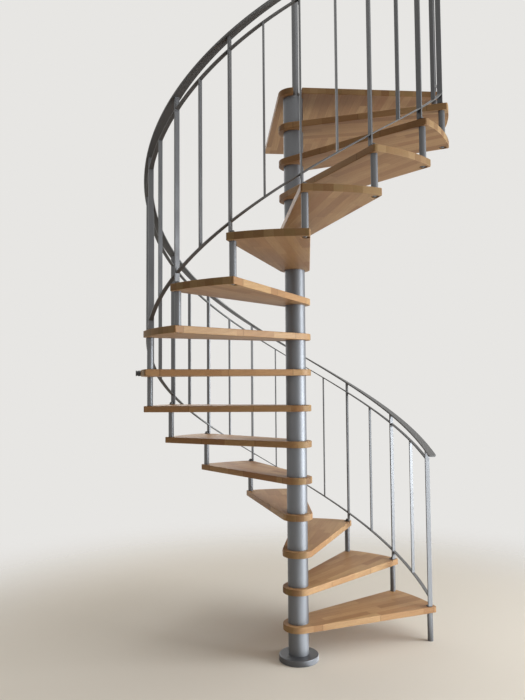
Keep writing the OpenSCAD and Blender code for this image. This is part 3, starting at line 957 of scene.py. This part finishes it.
# Painted shade, partly: the clips' dark grey paint also stands for the shade in the corner under each rail
# beside a main baluster.
round_stair("thin_rail_clips", lambda bm: draw_clips(bm, (BOTTOM_UP, SECOND_UP)), TREADS, FIRST + STEP,
            2 * RISE, dark_paint, "thin_rail_paint", edge=CLIP_EDGE)
round_stair("handrail_clips", lambda bm: draw_clips(bm, (HANDRAIL_UP,)), LANDING, FIRST, RISE,
            dark_paint, "handrail_paint", edge=CLIP_EDGE)


# The rails

wound = wound_tree()


def rail(name, slot, start, end, up, width, thick, edge, stations, start_corner=0.0, end_corner=0.0):
    """A rail whose underside is up above the treads, from one angle to another."""
    middle = up + thick / 2
    obj = grown(name + "_bar", wound, radius=RAIL_R, start_angle=start, end_angle=end,
                start_height=helix_z(start) + middle, end_height=helix_z(end) + middle, width=width,
                thickness=thick * math.cos(SLOPE), edge_radius=edge, stations=stations,
                start_corner=start_corner, end_corner=end_corner, material=rail_paint)
    wear(obj, rail_paint, slot, name)


def thin_rail(name, up):
    """One of the two rails that the thinner balusters stand between."""
    rail(name, "thin_rail_paint", main_angle(1), main_angle(LANDING), up, RAIL_W, RAIL_T, RAIL_EDGE,
         RAIL_STATIONS)


def handrail_length(n, first, last):
    """One length of the handrail, between two main balusters. A free end has rounded corners and
    goes past its baluster."""
    over = math.degrees(HANDRAIL_OVER / RAIL_R)
    start, end = main_angle(first), main_angle(last)
    start_corner = end_corner = 0.0
    if first == 1:
        start -= over
        start_corner = HANDRAIL_CORNER
    if last == LANDING:
        end += over
        end_corner = HANDRAIL_CORNER
    rail("handrail_%d" % n, "handrail_paint", start, end, HANDRAIL_UP, HANDRAIL_W, HANDRAIL_T,
         HANDRAIL_EDGE, HANDRAIL_STATIONS, start_corner, end_corner)


thin_rail("bottom_rail", BOTTOM_UP)
thin_rail("second_rail", SECOND_UP)
for n, (first, last) in enumerate(zip(SECTION_ENDS, SECTION_ENDS[1:]), 1):
    handrail_length(n, first, last)


# The newel and the wall spacer


def draw_newel(bm):
    """The slim tube that stands on the column and passes the landing's slot."""
    lathe(bm, tube(NEWEL_R, NEWEL_WALL, 0, NEWEL_H), TUBE_FACETS, NEWEL_PLACE)


def draw_newel_cap(bm):
    """The cap on that tube, flat in the middle and rounded down to its side."""
    profile = [(0, NEWEL_H), (NEWEL_R, NEWEL_H)] + stepped(NEWEL_R, NEWEL_H, NEWEL_CROWN)
    lathe(bm, profile + [(0, NEWEL_H + NEWEL_CAP_T)], TUBE_FACETS, NEWEL_PLACE)


def draw_wall_spacer(bm):
    """A drum against the tread's edge, then a neck and a thin end plate."""
    lathe(bm, [(SCREW_HOLE_R, 0), (WALL_R - WALL_CHAMFER, 0), (WALL_R, WALL_CHAMFER), (WALL_R, DRUM_END),
               (NECK_R, NECK_START), (NECK_R, NECK_END), (WALL_R, WALL_L - PLATE_T), (WALL_R, WALL_L),
               (SCREW_HOLE_R, WALL_L)], TUBE_FACETS, WALL_PLACE)


finished("newel_tube", draw_newel, newel_paint, "newel_paint", "landing_newel")
finished("newel_top", draw_newel_cap, newel_paint, "newel_paint", "newel_cap")
finished("wall_drum", draw_wall_spacer, dark_paint, "wall_spacer_paint", "wall_spacer")


# Floor, light and camera

FLOOR_HALF, FLOOR_DROP = 40.0, 0.0006
FADE_START, FADE_END = 1.3, 3.7
FLOOR_COLOUR = (0.77, 0.715, 0.63, 1.0)
SEEN_COLOUR, SEEN_STRENGTH = (0.80, 0.79, 0.77, 1.0), 1.0
FELT_COLOUR, FELT_STRENGTH = (1.0, 0.93, 0.83, 1.0), 0.125
WINDOW_LIGHT = (0.90, 0.95, 1.0)
SHINE_LIGHT = (0.88, 0.94, 1.0)
LAMP_LIGHT = (1.0, 0.99, 0.97)
OVERHEAD_FROM, OVERHEAD_SPREAD, OVERHEAD_POWER = (0.35, -0.15, 1.0), 70.0, 1.4
CAMERA_AT = Vector((0.0102, -3.3728, 1.3783))
CAMERA_YAW, CAMERA_PITCH, CAMERA_ROLL = -3.093, 3.208, -0.453
CAMERA_LENS = 33.42


def floor_material():
    """A pale matt floor that fades into the background away from the stair."""
    s = Shader("pale floor", roughness=0.8, specular_ior_level=0.0, base_color=FLOOR_COLOUR)
    distance = s.use("ShaderNodeVectorMath", {0: s.object_place()}, "Value", operation="LENGTH")
    gone = s.use("ShaderNodeMapRange", {0: distance, 1: FADE_START, 2: FADE_END},
                 interpolation_type="SMOOTHERSTEP")
    clear = s.use("ShaderNodeBsdfTransparent", {})
    both = s.use("ShaderNodeMixShader", {0: gone, 1: s.principled.outputs[0], 2: clear})
    plug(s.tree, s.output.inputs["Surface"], both)
    return s.material


def draw_floor(bm):
    plan = oblong(-FLOOR_HALF, FLOOR_HALF, -FLOOR_HALF, FLOOR_HALF)
    bm.faces.new([bm.verts.new((p.x, p.y, -FLOOR_DROP)) for p in plan])


def light_room():
    """A world that looks pale to the camera and in gloss, and lights the stair only a little."""
    world = bpy.data.worlds.new("pale room")
    bpy.context.scene.world = world
    world.use_nodes = True
    tree = world.node_tree
    tree.nodes.clear()
    seen = add(tree, "ShaderNodeBackground", {"Color": SEEN_COLOUR, "Strength": SEEN_STRENGTH})
    felt = add(tree, "ShaderNodeBackground", {"Color": FELT_COLOUR, "Strength": FELT_STRENGTH})
    rays = tree.nodes.new("ShaderNodeLightPath").outputs
    shown = rays["Is Camera Ray"]
    for kind in ("Is Glossy Ray", "Is Transmission Ray"):
        shown = calc(tree, "MAXIMUM", shown, rays[kind])
    either = add(tree, "ShaderNodeMixShader", {0: shown, 1: felt.outputs[0], 2: seen.outputs[0]})
    add(tree, "ShaderNodeOutputWorld", {0: either.outputs[0]})


def softbox(name, at, target, size, spread, power, colour, gloss_only=False):
    """A rectangular light. One with gloss_only shows in gloss and on metal, and not on matt surfaces."""
    light = bpy.data.lights.new(name, "AREA")
    light.shape = "RECTANGLE"
    light.size, light.size_y = size
    light.spread = math.radians(spread)
    light.energy = power
    light.color = colour
    obj = bpy.data.objects.new(name, light)
    bpy.context.scene.collection.objects.link(obj)
    obj.location = at
    obj.rotation_euler = (Vector(target) - Vector(at)).to_track_quat("-Z", "Y").to_euler()
    obj.visible_diffuse = not gloss_only


def light_overhead():
    """A broad soft light from above, a little from the right and the front."""
    light = bpy.data.lights.new("overhead light", "SUN")
    light.energy = OVERHEAD_POWER
    light.angle = math.radians(OVERHEAD_SPREAD)
    light.color = LAMP_LIGHT
    sky = bpy.data.objects.new("overhead light", light)
    sky.rotation_euler = Vector(OVERHEAD_FROM).to_track_quat("Z", "Y").to_euler()
    bpy.context.scene.collection.objects.link(sky)


def place_camera():
    """Stands the camera where the photograph was taken from."""
    yaw, pitch, roll = (math.radians(a) for a in (CAMERA_YAW, CAMERA_PITCH, CAMERA_ROLL))
    view = Vector((math.sin(yaw) * math.cos(pitch), math.cos(yaw) * math.cos(pitch), math.sin(pitch)))
    level = Vector((math.cos(yaw), -math.sin(yaw), 0))
    upright = level.cross(view)
    right = math.cos(roll) * level + math.sin(roll) * upright
    top = -math.sin(roll) * level + math.cos(roll) * upright
    camera = bpy.data.objects.new("camera", bpy.data.cameras.new("camera"))
    bpy.context.scene.collection.objects.link(camera)
    camera.data.lens = CAMERA_LENS
    camera.matrix_world = Matrix((
        (right.x, top.x, -view.x, CAMERA_AT.x),
        (right.y, top.y, -view.y, CAMERA_AT.y),
        (right.z, top.z, -view.z, CAMERA_AT.z),
        (0, 0, 0, 1),
    ))
    bpy.context.scene.camera = camera


floor = new_object("floor", draw_floor)
floor.data.materials.append(floor_material())

light_room()
softbox("window", at=(4.8, -0.8, 1.4), target=(0, 0, 1.1), size=(2.8, 2.7), spread=105, power=118,
        colour=WINDOW_LIGHT)
softbox("low window shine", at=(2.9, -0.8, 0.5), target=(0, 0, 0.5), size=(4.0, 1.0), spread=150,
        power=43, colour=SHINE_LIGHT, gloss_only=True)
softbox("shine off the floor", at=(1.36, -0.5, 0.001), target=(1.36, -0.5, 1.0), size=(2.6, 1.2),
        spread=180, power=27, colour=SHINE_LIGHT, gloss_only=True)
softbox("front fill", at=(-2.6, -4.2, 2.6), target=(0, 0, 1.5), size=(3.0, 3.0), spread=180, power=7,
        colour=LAMP_LIGHT)
softbox("back fill", at=(-2.0, 4.0, 3.0), target=(0, 0, 1.5), size=(3.0, 3.0), spread=180, power=40,
        colour=LAMP_LIGHT)
light_overhead()
place_camera()
bpy.context.scene.view_settings.view_transform = "Standard"
